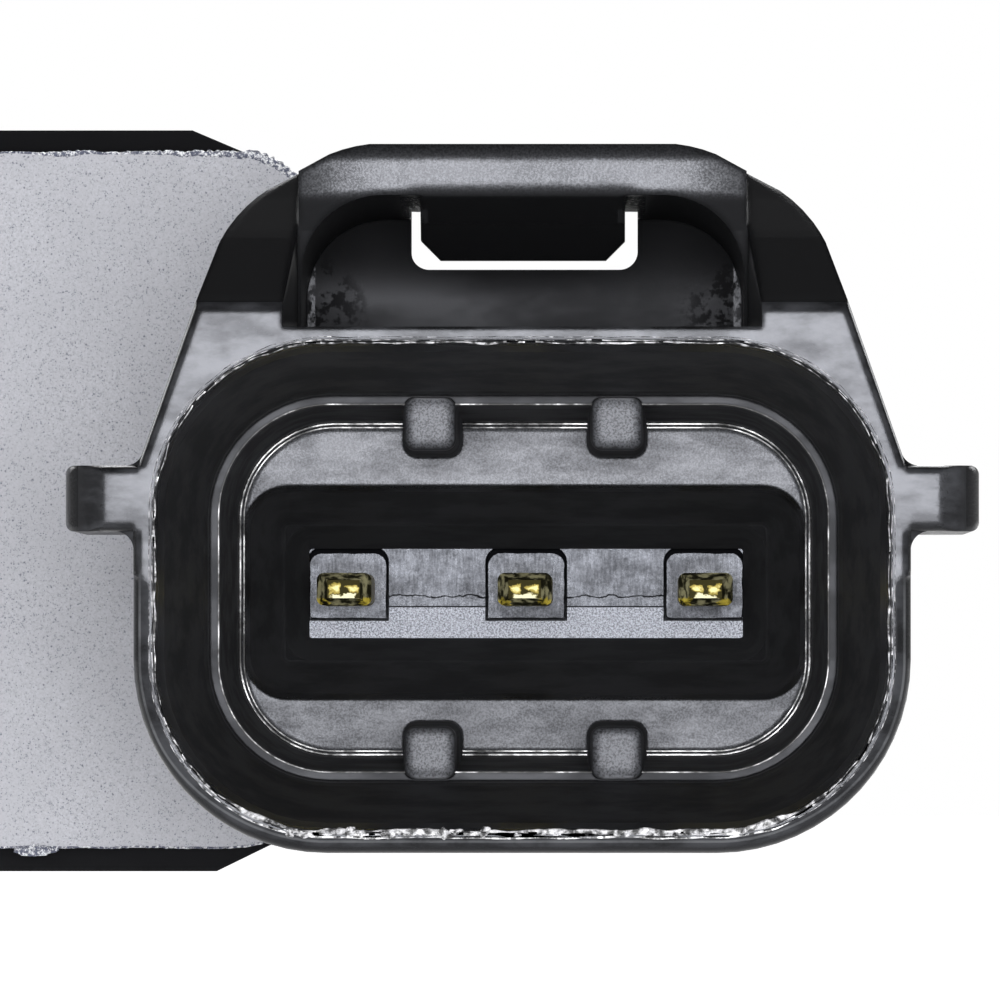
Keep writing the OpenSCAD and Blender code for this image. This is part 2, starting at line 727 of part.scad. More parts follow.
// Terminal i, counted from the middle: the blade, a jog in the block, a post down through the
// neck, a strip along the flange and a leg on the board
module terminal(i) {
    blade_x = plug_x + i * pin_pitch;
    post_x = plug_x + i * post_pitch;
    lane_y = i * strip_pitch;
    jog_low = min(blade_x - pin_w / 2, post_x - strip_w / 2);
    jog_high = max(blade_x + pin_w / 2, post_x + strip_w / 2);
    translate([blade_x, plug_y, 0]) blade();
    translate([jog_low, plug_y - pin_t / 2, jog_z]) cube([jog_high - jog_low, pin_t, strip_t]);
    translate([post_x - strip_w / 2, plug_y - pin_t / 2, strip_height])
        cube([strip_w, pin_t, jog_z + strip_t - strip_height]);
    translate([post_x - strip_w / 2, plug_y - pin_t / 2, strip_height])
        cube([strip_w, lane_y + strip_w / 2 - plug_y + pin_t / 2, strip_t]);
    translate([solder_x, lane_y - strip_w / 2, strip_height])
        cube([post_x + strip_w / 2 - solder_x, strip_w, strip_t]);
    translate([solder_x, lane_y - strip_w / 2, board_top - leg_on_board])
        cube([strip_t, strip_w, strip_height + strip_t - board_top + leg_on_board]);
}

module terminal_metal(i) { color([0.85, 0.72, 0.35]) laid() terminal(i); }
module terminal_left() { terminal_metal(-1); }
module terminal_middle() { terminal_metal(0); }
module terminal_right() { terminal_metal(1); }

module o_ring() {
    stretch = 0.02;
    color([0.13, 0.13, 0.13]) laid() at_probe() translate([0, 0, -groove_start - groove_w / 2])
        rotate_extrude() translate([groove_d / 2 + ring_d / 2 + stretch, 0]) circle(d = ring_d);
}

module probe_cap() {
    color([0.16, 0.16, 0.17]) laid() at_probe() translate([0, 0, nose_z]) cylinder(d = cap_d, h = cap_t);
}

module sensor_carrier() {
    top_z = board_top - carrier_drop;
    carrier_d = bore_d - 2 * part_gap;
    cavity_d = magnet_d + 2 * part_gap;
    slot_y = lead_pitch + lead_w;
    color([0.3, 0.31, 0.33]) laid() at_probe() difference() {
        translate([0, 0, cap_z]) cylinder(d = carrier_d, h = top_z - cap_z);
        translate([board_seat, -carrier_d, board_z]) cube([carrier_d, 2 * carrier_d, top_z - board_z + past]);
        translate([0, 0, pole_z]) cylinder(d = cavity_d, h = pole_t + magnet_len);
        translate([0, 0, (cap_z + pole_z) / 2]) cube([chip_l + 2 * part_gap, chip_w + 2 * part_gap,
                                                      pole_z - cap_z], center = true);
        translate([0, -slot_y, cap_z - past]) cube([board_seat + board_t + 2 * lead_t, 2 * slot_y,
                                                    board_z - cap_z + past]);
        translate([0, 0, cap_z - past]) translate([-chip_l / 2, -chip_w / 2, 0]) cube([chip_l, chip_w, past]);
    }
}

module sensing_chip() {
    color([0.12, 0.12, 0.13]) laid() at_probe() translate([-chip_l / 2, -chip_w / 2, chip_z])
        cube([chip_l, chip_w, chip_t]);
}

// A lead from the chip's side, up to the board and along its face
module chip_lead(i) {
    low_z = chip_z + (chip_t - lead_t) / 2;
    lead_x = board_seat + board_t;
    color([0.8, 0.8, 0.78]) laid() at_probe() translate([0, i * lead_pitch - lead_w / 2, low_z]) {
        translate([chip_l / 2, 0, 0]) cube([lead_x + lead_t - chip_l / 2, lead_w, lead_t]);
        translate([lead_x, 0, 0]) cube([lead_t, lead_w, board_z + lead_on_board - low_z]);
    }
}

module chip_lead_left() { chip_lead(-1); }
module chip_lead_middle() { chip_lead(0); }
module chip_lead_right() { chip_lead(1); }

module pole_piece() {
    color([0.55, 0.55, 0.57]) laid() at_probe() translate([0, 0, pole_z]) cylinder(d = magnet_d, h = pole_t);
}

module bias_magnet() {
    color([0.3, 0.3, 0.32]) laid() at_probe() translate([0, 0, magnet_z]) cylinder(d = magnet_d, h = magnet_len);
}

module circuit_board() {
    color([0.1, 0.35, 0.2]) laid() translate([board_x, -board_w / 2, board_z])
        cube([board_t, board_w, board_top - board_z]);
}

// A part soldered to the board's free face, given by its size and its place on the board
module on_board(size, y, z) {
    laid() translate([solder_x, y - size.y / 2, z - size.z / 2]) cube(size);
}

carrier_drop = 0.6;
capacitor_size = [1, 1.25, 2];
resistor_size = [0.5, 0.8, 1.6];
parts_drop = 1.6;
parts_z = board_top - leg_on_board - parts_drop;
capacitor_y = 2.2;

module supply_capacitor() { color([0.6, 0.5, 0.38]) on_board(capacitor_size, -capacitor_y, parts_z); }
module output_capacitor() { color([0.6, 0.5, 0.38]) on_board(capacitor_size, capacitor_y, parts_z); }
module pull_up_resistor() { color([0.14, 0.14, 0.15]) on_board(resistor_size, 0, parts_z); }

housing();
mounting_plate();
bolt_bush();
terminal_block();
terminal_left();
terminal_middle();
terminal_right();
o_ring();
probe_cap();
sensor_carrier();
sensing_chip();
chip_lead_left();
chip_lead_middle();
chip_lead_right();
pole_piece();
bias_magnet();
circuit_board();
supply_capacitor();
output_capacitor();
pull_up_resistor();
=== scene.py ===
"""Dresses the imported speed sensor: the finish of every piece, the plate's ragged edge, the flash
round the socket's mouth, and a plain stage with the camera in front of the socket."""

import json
import math
import random

import bmesh
import bpy
from mathutils import Matrix, Vector, noise


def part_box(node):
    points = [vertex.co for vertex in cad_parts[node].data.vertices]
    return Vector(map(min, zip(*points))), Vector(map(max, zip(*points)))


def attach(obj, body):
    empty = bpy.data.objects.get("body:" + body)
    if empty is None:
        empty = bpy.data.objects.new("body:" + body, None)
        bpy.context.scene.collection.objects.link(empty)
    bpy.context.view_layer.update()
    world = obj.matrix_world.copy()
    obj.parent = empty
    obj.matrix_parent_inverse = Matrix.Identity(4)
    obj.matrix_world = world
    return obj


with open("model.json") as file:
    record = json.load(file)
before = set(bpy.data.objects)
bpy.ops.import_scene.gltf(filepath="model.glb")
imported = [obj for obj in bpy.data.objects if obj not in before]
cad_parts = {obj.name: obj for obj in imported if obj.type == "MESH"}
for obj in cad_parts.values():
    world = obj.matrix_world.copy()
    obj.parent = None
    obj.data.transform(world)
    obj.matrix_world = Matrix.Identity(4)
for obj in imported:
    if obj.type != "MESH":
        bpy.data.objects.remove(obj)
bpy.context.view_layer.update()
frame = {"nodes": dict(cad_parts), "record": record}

bl_info = {
    "name": "Speed Sensor Finish",
    "version": (1, 0, 0),
    "blender": (4, 5, 0),
    "location": "View3D > Sidebar > Speed Sensor",
    "description": "Finishes, moulding flash and stage for a plug-in speed sensor",
    "category": "Object",
}

MM = 0.001
ROOT = "root"
MOUNTS = {mount["name"]: mount for mount in frame["record"]["mounts"]}
PLUG = Vector(MOUNTS["plug_socket"]["pos_m"])
PLATE_LOW, PLATE_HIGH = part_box("mounting_plate")
HOUSING_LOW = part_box("housing")[0]

# Half the size of the socket's outline at its mouth, and the radius of its corners
MOUTH_HALF = Vector((10.45, 7.15)) * MM
MOUTH_ROUND = 5.2 * MM

# Radius of the plate's corners beside the hood
PLATE_ROUND = 3 * MM


# Properties


class SensorFinish(bpy.types.PropertyGroup):
    """Colours of the finishes"""

    plastic: bpy.props.FloatVectorProperty(
        name="Plastic", description="Colour of the black moulding", subtype="COLOR",
        size=3, min=0, max=1, default=(0.0065, 0.0066, 0.0072))
    plate: bpy.props.FloatVectorProperty(
        name="Plate", description="Colour of the mounting plate", subtype="COLOR",
        size=3, min=0, max=1, default=(0.485, 0.49, 0.53))
    plating: bpy.props.FloatVectorProperty(
        name="Plating", description="Colour of the terminals' plating", subtype="COLOR",
        size=3, min=0, max=1, default=(0.3, 0.24, 0.06))
    steel: bpy.props.FloatVectorProperty(
        name="Steel", description="Colour of the turned bush", subtype="COLOR",
        size=3, min=0, max=1, default=(0.6, 0.6, 0.61))
    rubber: bpy.props.FloatVectorProperty(
        name="Rubber", description="Colour of the seal", subtype="COLOR",
        size=3, min=0, max=1, default=(0.012, 0.012, 0.013))


class SensorEdges(bpy.types.PropertyGroup):
    """Sizes of the edges that moulding and casting leave"""

    flash_width: bpy.props.FloatProperty(
        name="Flash width", description="Width of a flash line round the socket's mouth",
        default=0.07 * MM, min=0.02 * MM, max=0.15 * MM, unit="LENGTH", precision=5)
    flash_height: bpy.props.FloatProperty(
        name="Flash height", description="Height of the flash over the socket's rim",
        default=0.05 * MM, min=0, max=0.15 * MM, unit="LENGTH", precision=5)
    ragged: bpy.props.FloatProperty(
        name="Ragged edge", description="How far the plate's edge wanders in and out",
        default=0.09 * MM, min=0, max=0.2 * MM, unit="LENGTH", precision=5)


class SensorStage(bpy.types.PropertyGroup):
    """Camera and light"""

    distance: bpy.props.FloatProperty(
        name="Camera distance", description="From the camera to the socket's mouth",
        default=0.4, min=0.2, max=2, unit="LENGTH")
    view_width: bpy.props.FloatProperty(
        name="View width", description="Width of the view at the socket's mouth",
        default=26.86 * MM, min=0.02, max=0.2, unit="LENGTH", precision=5)
    lamp_angle: bpy.props.FloatProperty(
        name="Lamp angle", description="Half the angle under which the front lamp is seen",
        default=math.radians(13.6), min=0.05, max=1, subtype="ANGLE")
    lamp_level: bpy.props.FloatProperty(
        name="Lamp level", description="Radiance of the front lamp", default=20, min=0, max=50)
    floor_drop: bpy.props.FloatProperty(
        name="Floor drop", description="From the sensor's lowest point down to the floor",
        default=0.03, min=0, max=0.2, unit="LENGTH")


# Helpers for materials


class Finish:
    """A material whose nodes are added one after the other"""

    def __init__(self, name, **shader):
        self.material = bpy.data.materials.new(name)
        self.material.use_nodes = True
        self.tree = self.material.node_tree
        self.shader = self.tree.nodes["Principled BSDF"]
        for socket, value in shader.items():
            self.shader.inputs[socket.replace("_", " ")].default_value = value
        coordinates = self.tree.nodes.new("ShaderNodeTexCoord")
        self.place = coordinates.outputs["Object"]
        self.normal = coordinates.outputs["Normal"]

    def put(self, socket, value):
        """Sets a socket to a number, a colour or another node's output"""
        if isinstance(value, bpy.types.NodeSocket):
            self.tree.links.new(value, socket)
        elif hasattr(socket.default_value, "__len__") and len(socket.default_value) > len(value):
            socket.default_value = (*value, 1)
        else:
            socket.default_value = value

    def node(self, kind, inputs=(), **settings):
        """Adds a shader node with its settings and inputs"""
        made = self.tree.nodes.new("ShaderNode" + kind)
        for key, value in settings.items():
            setattr(made, key, value)
        for key, value in dict(inputs).items():
            self.put(made.inputs[key], value)
        return made

    def set(self, **inputs):
        """Sets inputs of the material's shader"""
        for socket, value in inputs.items():
            self.put(self.shader.inputs[socket.replace("_", " ")], value)
        return self

    def math(self, operation, a, b=0.0, c=0.0):
        return self.node("Math", {0: a, 1: b, 2: c}, operation=operation).outputs[0]

    def add(self, a, b):
        return self.math("ADD", a, b)

    def less(self, a, b):
        return self.math("SUBTRACT", a, b)

    def times(self, a, b):
        return self.math("MULTIPLY", a, b)

    def larger(self, a, b):
        return self.math("MAXIMUM", a, b)

    def smaller(self, a, b):
        return self.math("MINIMUM", a, b)

    def abs(self, value):
        return self.math("ABSOLUTE", value)

    def rest(self, share):
        """What a share leaves of the whole"""
        return self.less(1.0, share)

    def ramp(self, value, low, high, to_low=0.0, to_high=1.0):
        """Maps low..high to to_low..to_high with soft ends"""
        made = self.node("MapRange", {0: value, 1: low, 2: high, 3: to_low, 4: to_high},
                         interpolation_type="SMOOTHSTEP")
        return made.outputs[0]

    def band(self, value, low, high, soft):
        """1 where the value lies between low and high, falling to 0 within soft outside"""
        rise = self.ramp(value, low - soft, low)
        fall = self.ramp(value, high, high + soft, 1.0, 0.0)
        return self.smaller(rise, fall)

    def mix(self, share, a, b):
        """Mixes two colours"""
        return self.node("Mix", {0: share, 6: a, 7: b}, data_type="RGBA").outputs[2]

    def blend(self, share, a, b):
        """Mixes two numbers"""
        return self.node("Mix", {0: share, 2: a, 3: b}, data_type="FLOAT").outputs[0]

    def scaled(self, size, stretch, shift):
        """Object coordinates in units of size, stretched and shifted"""
        scale = [share / size for share in stretch]
        return self.node("Mapping", {"Vector": self.place, "Scale": scale, "Location": shift}).outputs[0]

    def noise(self, size, detail=2.0, rough=0.5, stretch=(1, 1, 1), seed=0.0):
        """Noise whose lumps are about size across, as a value round 0.5"""
        at = self.scaled(size, stretch, Vector((1.7, 0.9, 2.3)) * seed)
        made = self.node("TexNoise", {"Vector": at, "Scale": 1.0, "Detail": detail, "Roughness": rough})
        return made.outputs["Fac"]

    def cells(self, size, seed):
        """Small cells, with the distance from each one's middle and a colour of its own"""
        at = self.scaled(size, (1, 1, 1), Vector((1.3, 2.1, 0.7)) * seed)
        return self.node("TexVoronoi", {"Vector": at, "Scale": 1.0})

    def axis(self, vector, name):
        return self.node("SeparateXYZ", {0: vector}).outputs[name]

    def from_plug(self):
        """How far right, up and in from the middle of the socket's mouth, in mm"""
        return [self.math("MULTIPLY_ADD", self.axis(self.place, name), 1 / MM, -zero / MM)
                for name, zero in (("X", PLUG.x), ("Z", PLUG.z), ("Y", PLUG.y))]

    def outside(self, aside, up, half, corner):
        """How far a point lies outside a rounded field round the middle, and down to -corner inside it"""
        over = [self.larger(self.add(self.less(value, size), corner), 0.0)
                for value, size in ((aside, half[0]), (up, half[1]))]
        squares = self.add(self.times(over[0], over[0]), self.times(over[1], over[1]))
        return self.less(self.math("SQRT", squares), corner)

    def lean(self, normal, share, way):
        """Turns the normal towards a way, as a crowned or sunk face would"""
        push = self.node("VectorMath", {0: way, "Scale": share}, operation="SCALE").outputs[0]
        total = self.node("VectorMath", {0: normal, 1: push}, operation="ADD").outputs[0]
        return self.node("VectorMath", {0: total}, operation="NORMALIZE").outputs[0]

    def bump(self, height, depth, strength=1.0, normal=None):
        """A bump of that depth in metres, on top of another if given"""
        made = self.node("Bump", {"Height": height, "Distance": depth, "Strength": strength})
        if normal is not None:
            self.put(made.inputs["Normal"], normal)
        return made.outputs[0]


def dress(node, finish):
    """Gives a node of the frame its finish"""
    piece = frame["nodes"][node]
    piece.data.materials.clear()
    piece.data.materials.append(finish.material)


# Finishes

# Depths behind the socket's mouth in mm, from and to: the latch cage, its bar, the ribs' fronts and
# their edges, the socket's ledge, the slot's back wall and the socket's floor
CAGE = (2.3, 9.6)
BAR = (2.3, 3.4)
RIBS = (5.95, 6.19)
RIB_EDGES = (5.9, 6.2)
LEDGE = (6.21, 6.6)
WALL = (9.8, 10.6)
FLOOR = (12.3, 12.7)

# Where the socket ends, the height at which the slot starts, and how far in the mouth's rim ends, in mm
SOCKET_END = 19.0
SLOT_FOOT = 6.9
RIM_END = (0.46, 0.54)

# Faces of the moulding that look out of the socket: their depth from and to, their roughness where
# the mould is bright and where it is dull, and the grain that tells these apart
FACES = (
    (0.0, 0.3, 0.14, 0.29, "cloud"),
    (1.0, 5.8, 0.5, 0.58, "cloud"),
    (*RIBS, 0.27, 0.35, "spark"),
    (*LEDGE, 0.38, 0.5, "cloud"),
    (6.7, 12.2, 0.62, 0.7, "cloud"),
    (*FLOOR, 0.16, 0.34, "brushed"),
    (13.0, 15.3, 0.62, 0.72, "cloud"),
    (15.3, 32.0, 0.95, 1.0, "cloud"),
)


class HousingPlastic(Finish):
    """Black glass-filled plastic, whose shine differs from face to face as the mould's does"""

    def __init__(self, look):
        super().__init__("housing_plastic", Specular_IOR_Level=0.3, Specular_Tint=(0.9, 0.92, 1, 1))
        self.black = look.plastic
        self.find_grains()
        self.find_places()
        rough = self.wing_ends(self.skin(self.faces()))
        rough = self.latch_bar(self.recess(rough))
        rough = self.torn_corners(self.slot_wall(rough))
        # The colour holds painted light on the socket's walls, painted shade past its end, painted sheen on
        # the outward faces' grain and a painted highlight on the mouth's lower rim
        tone = self.painted_rim_highlight(self.grain_and_sheen(self.walls()))
        self.set(Base_Color=tone, Roughness=rough, Normal=self.relief())

    def find_grains(self):
        """The mould's clouds, its brushed streaks and its fine spark-eroded grain"""
        self.fine = self.ramp(self.noise(0.055 * MM, 3, 0.65, seed=2), 0.35, 0.65)
        self.cloud = self.ramp(self.noise(1.4 * MM, 5, 0.62, stretch=(0.6, 1, 1.3), seed=1), 0.34, 0.64)
        streak = self.ramp(self.noise(0.8 * MM, 8, 0.72, stretch=(0.4, 1, 1.1), seed=12), 0.34, 0.64)
        self.grains = {"cloud": self.cloud, "brushed": self.blend(0.3, streak, self.fine), "spark": self.fine}

    def find_places(self):
        """Each point's place in the moulding, and the masks that follow from it"""
        across, self.high, self.depth = self.from_plug()
        self.aside = self.abs(across)
        self.towards = self.times(self.axis(self.normal, "Y"), -1.0)
        self.facing = self.ramp(self.towards, 0.6, 0.9)
        self.above = self.ramp(self.high, SLOT_FOOT, SLOT_FOOT + 0.1)

        # How far a point lies inside the mouth's outline tells the socket from the outside
        self.inset = self.times(
            self.outside(self.aside, self.abs(self.high), MOUTH_HALF / MM, MOUTH_ROUND / MM), -1.0)
        self.socket = self.times(self.ramp(self.inset, *RIM_END),
                                 self.ramp(self.depth, SOCKET_END, SOCKET_END + 0.5, 1.0, 0.0))
        self.shoulder = self.times(self.rest(self.socket), self.ramp(self.depth, 0.3, 0.4, 1.0, 0.0))
        self.floor = self.band(self.depth, *FLOOR, 0.05)

        # The latch bar, and the light on it, which fades to its ends and edges
        self.bar = self.times(self.band(self.depth, *BAR, 0.3),
                              self.times(self.facing, self.ramp(self.high, 9.6, 9.7)))
        ends = self.ramp(self.aside, 2.6, 3.6, 0.0, 0.15)
        lit = self.smaller(self.ramp(self.add(self.high, ends), 10.56, 11.05),
                           self.ramp(self.aside, 3.6, 6.3, 1.0, 0.5))
        self.lit = self.times(lit, self.ramp(self.high, 11.45, 11.72, 1.0, 0.4))

    def faces(self):
        """Roughness of the faces that look out of the socket"""
        rough = 0.28
        for low, end, bright, dull, kind in FACES:
            own = self.blend(self.grains[kind], dull, bright)
            rough = self.blend(self.band(self.depth, low, end, 0.05), rough, own)
        return rough

    def skin(self, rough):
        """The outside is polished with duller sides, and the socket's floor is duller low down"""
        outer = self.larger(self.band(self.depth, 0.35, 12.0, 0.05), self.rest(self.facing))
        sides = self.times(self.band(self.towards, -0.15, 0.1, 0.1),
                           self.ramp(self.depth, 12.0, 13.0, 1.0, 0.0))
        rough = self.blend(self.times(self.rest(self.socket), outer), rough, self.blend(sides, 0.2, 0.42))
        return self.add(rough, self.times(self.floor, self.ramp(self.high, -3.0, 3.0, 0.07, 0.0)))

    def wing_ends(self, rough):
        """The wings' ends lean away, and their light fades out in the grain"""
        ragged = self.ramp(self.noise(0.12 * MM, 3, 0.7, seed=19), 0.2, 0.8, -0.25, 0.25)
        fade = self.ramp(self.add(self.aside, ragged), 11.15, 11.6)
        return self.blend(self.times(self.shoulder, fade), rough, 0.55)

    def recess(self, rough):
        """The faces inside the latch cage are dull"""
        inside = self.times(self.band(self.depth, *CAGE, 0.05), self.facing)
        return self.blend(self.times(inside, self.above), rough, 0.75)

    def latch_bar(self, rough):
        """The latch bar is spark-eroded: its shine swirls and sparkles where it is lit"""
        swirl = self.ramp(self.noise(1.1 * MM, 3, 0.6, seed=17), 0.3, 0.7, 0.85, 1.0)
        sparks = self.ramp(self.noise(0.045 * MM, 2, 0.5, seed=20), 0.62, 0.7, 0.0, 0.16)
        shine = self.add(self.times(self.ramp(self.fine, 0.0, 1.0, 0.82, 0.98), swirl), sparks)
        return self.blend(self.bar, rough, self.ramp(self.times(shine, self.lit), 0.0, 1.0, 0.8, 0.14))

    def slot_wall(self, rough):
        """The slot's back wall: dull above, scarred at its ends, with a flecked bright strip down each"""
        wall = self.times(self.band(self.depth, *WALL, 0.2), self.above)
        scars = self.ramp(self.noise(0.6 * MM, 6, 0.75, seed=3), 0.5, 0.56)
        dull = self.larger(self.times(self.ramp(self.aside, 4.0, 5.6), scars), self.ramp(self.high, 7.9, 9.5))
        cloud = self.ramp(self.noise(2.2 * MM, 4, 0.6, stretch=(0.5, 1, 1), seed=13), 0.35, 0.65)
        rough = self.blend(wall, rough, self.blend(dull, self.blend(cloud, 0.63, 0.48), 0.95))
        strip = self.times(self.band(self.aside, 5.78, 5.95, 0.05), self.ramp(self.high, 9.0, 10.0, 1.0, 0.0))
        flecks = self.ramp(self.noise(0.16 * MM, 4, 0.75, stretch=(1, 1, 0.5), seed=14), 0.42, 0.55)
        return self.blend(self.times(self.times(wall, strip), flecks), rough, 0.3)

    def torn_corners(self, rough):
        """The window's upper corners are torn and dull, with a few glints"""
        corner = self.times(self.band(self.aside, 2.6, 3.3, 0.05), self.band(self.high, 9.9, 10.64, 0.03))
        corner = self.times(corner, self.band(self.depth, 3.1, 9.4, 0.1))
        glints = self.ramp(self.noise(0.1 * MM, 3, 0.7, seed=21), 0.56, 0.62, 1.0, 0.3)
        return self.blend(corner, rough, glints)

    def walls(self):
        """Black, with painted light paling the socket's walls, most of all behind its ledge, and painted
        shade darkening it past its end
        """
        # Painted light: the socket's walls, in clouds, take a paler black
        pale = self.mix(self.band(self.depth, 6.4, 12.2, 0.1),
                        [c * 4.5 for c in self.black], [c * 10 for c in self.black])
        walls = self.times(self.socket, self.rest(self.facing))
        tone = self.mix(self.times(walls, self.ramp(self.cloud, 0.0, 1.0, 0.5, 1.0)), self.black, pale)
        # Painted shade: past the socket's end the black is painted darker
        far = self.ramp(self.depth, SOCKET_END, SOCKET_END + 1)
        return self.mix(far, tone, [c * 0.6 for c in self.black])

    def grain_and_sheen(self, tone):
        """Painted sheen on the faces that look out: fine pale grain where the mould was brushed or
        spark-eroded, following the light on the latch bar, and pale clouds on the shoulders
        """
        eroded = self.larger(self.times(self.bar, self.times(self.lit, 0.6)),
                             self.band(self.depth, *RIBS, 0.02))
        grainy = self.times(self.larger(eroded, self.floor), self.fine)
        sheen_clouds = self.times(self.shoulder, self.times(self.cloud, 0.5))
        # Painted sheen: a pale grey, only on faces that look towards the front lamp
        return self.mix(self.times(self.larger(grainy, sheen_clouds), self.facing), tone, (0.085, 0.088, 0.098))

    def painted_rim_highlight(self, tone):
        """A painted highlight: a fine pale line on the lower half of the mouth's outer round, where the
        mould's halves met
        """
        drawn = self.less(self.inset, self.ramp(self.high, -6.8, -4.0, 0.14, 0.0))
        line = self.times(self.band(drawn, 0.16, 0.19, 0.035), self.ramp(self.depth, 0.4, 0.5, 1.0, 0.0))
        shown = self.times(self.ramp(self.high, -1.0, 1.0, 1.0, 0.0),
                           self.ramp(self.cloud, 0.0, 1.0, 0.45, 1.0))
        return self.mix(self.times(line, shown), tone, (0.11, 0.113, 0.12))

    def relief(self):
        """Rounds off the edges, crowns the latch bar and adds the grain"""
        radius = self.ramp(self.depth, 3.0, 5.0, 0.32 * MM, 0.09 * MM)
        radius = self.blend(self.ramp(self.depth, 0.5, 0.8, 1.0, 0.0), radius, 0.22 * MM)
        radius = self.blend(self.band(self.depth, *RIB_EDGES, 0.02), radius, 0.42 * MM)
        edge = self.node("Bevel", {"Radius": radius}, samples=8).outputs[0]
        crown = self.less(self.ramp(self.high, 11.55, 11.85, 0.0, 0.5),
                          self.ramp(self.high, 10.3, 10.65, 0.35, 0.0))
        crowned = self.lean(edge, self.times(self.bar, crown), (0, 0, 1))
        grainy = self.bump(self.noise(0.09 * MM, 3, 0.6), 0.003 * MM, 1.0, crowned)
        return self.bump(self.fine, 0.0008 * MM, self.bar, grainy)


def plate_finish(look):
    """Pale grey plate with many fine dark pits"""
    f = Finish("plate_metal", Metallic=0.1, Specular_IOR_Level=0.3)
    pits = f.times(f.ramp(f.noise(0.062 * MM, 3, 0.75, seed=4), 0.54, 0.68), 0.75)
    for size, seed, share in ((0.07 * MM, 1, 0.16), (0.11 * MM, 5, 0.1)):
        cell = f.cells(size, seed)
        pit = f.ramp(f.add(cell.outputs["Distance"], f.ramp(pits, 0.0, 0.6, 0.12, 0.0)), 0.2, 0.5, 1.0, 0.0)
        rare = f.math("GREATER_THAN", f.axis(cell.outputs["Color"], "X"), 1 - share)
        pits = f.larger(pits, f.times(pit, rare))
    fine = f.noise(0.06 * MM, 3, 0.7, seed=3)
    cloud = f.noise(3 * MM, 4, 0.6, seed=2)
    tone = f.mix(f.ramp(fine, 0.3, 0.7), [c * 0.9 for c in look.plate], [c * 1.16 for c in look.plate])
    tone = f.mix(f.ramp(cloud, 0.3, 0.7, 0.0, 0.6), tone, [c * 0.93 for c in look.plate])
    tone = f.mix(f.times(pits, 0.9), tone, (0.13, 0.14, 0.18))
    return f.set(Base_Color=tone, Roughness=f.ramp(fine, 0.3, 0.7, 0.62, 0.8),
                 Normal=f.bump(fine, 0.006 * MM, 0.6))


def flash_finish():
    """Torn plastic: a white edge, with glints painted into its colour"""
    f = Finish("torn_plastic", Specular_IOR_Level=0.6)
    glint = f.noise(0.24 * MM, 4, 0.6, seed=4)
    # Painted glints: the colour runs from black to white with the glint noise
    tone = f.mix(f.ramp(glint, 0.4, 0.62), (0.02, 0.02, 0.022), (0.8, 0.8, 0.83))
    return f.set(Base_Color=tone, Roughness=f.ramp(glint, 0.35, 0.65, 0.45, 0.2),
                 Normal=f.bump(glint, 0.012 * MM))


def seam_finish(look):
    """Polished plastic on the fine lines where the mould's inserts met, painted pale grey as a highlight
    where lit, broken more on the ledge
    """
    f = Finish("seam_plastic", Specular_IOR_Level=0.9)
    ledge = f.ramp(f.from_plug()[2], 8.0, 9.0, 1.0, 0.0)
    breaks = f.noise(1.3 * MM, 5, 0.75, seed=15)
    lit = f.ramp(f.less(breaks, f.times(ledge, 0.08)), 0.36, 0.6)
    # Painted highlight: pale grey where the line is lit
    return f.set(Base_Color=f.mix(lit, look.plastic, (0.3, 0.3, 0.32)), Roughness=f.blend(lit, 0.6, 0.15))


def burr_finish():
    """The plate's torn edge: dark blue metal with painted white glints"""
    f = Finish("torn_metal", Metallic=0.3, Specular_IOR_Level=0.6)
    grain = f.noise(0.1 * MM, 4, 0.75, seed=12)
    # Painted glints: the grain turns the dark blue to white in spots
    tone = f.mix(f.ramp(grain, 0.46, 0.6), (0.1, 0.11, 0.16), (0.8, 0.81, 0.84))
    return f.set(Base_Color=tone, Roughness=f.ramp(grain, 0.35, 0.65, 0.6, 0.3),
                 Normal=f.bump(grain, 0.03 * MM))


# Distance between the terminals, and half the size, the middle's height and the corners of the pad
# round each, in mm from the middle of the socket's mouth
PITCH = 5.0
PAD_HALF = (1.07, 0.91)
PAD_MIDDLE = 0.13
PAD_ROUND = 0.35

# Depths of the blades' tips, and the depth at which the grooves round the pads begin
TIPS = (10.0, 12.4)
GROOVES = 18.03

# Heights of the two seams between the pads, and the heights where the torn upper edge starts
WAVY_SEAM = -0.17
STRAIGHT_SEAM = -0.46
TORN_EDGE = (1.17, 1.22)


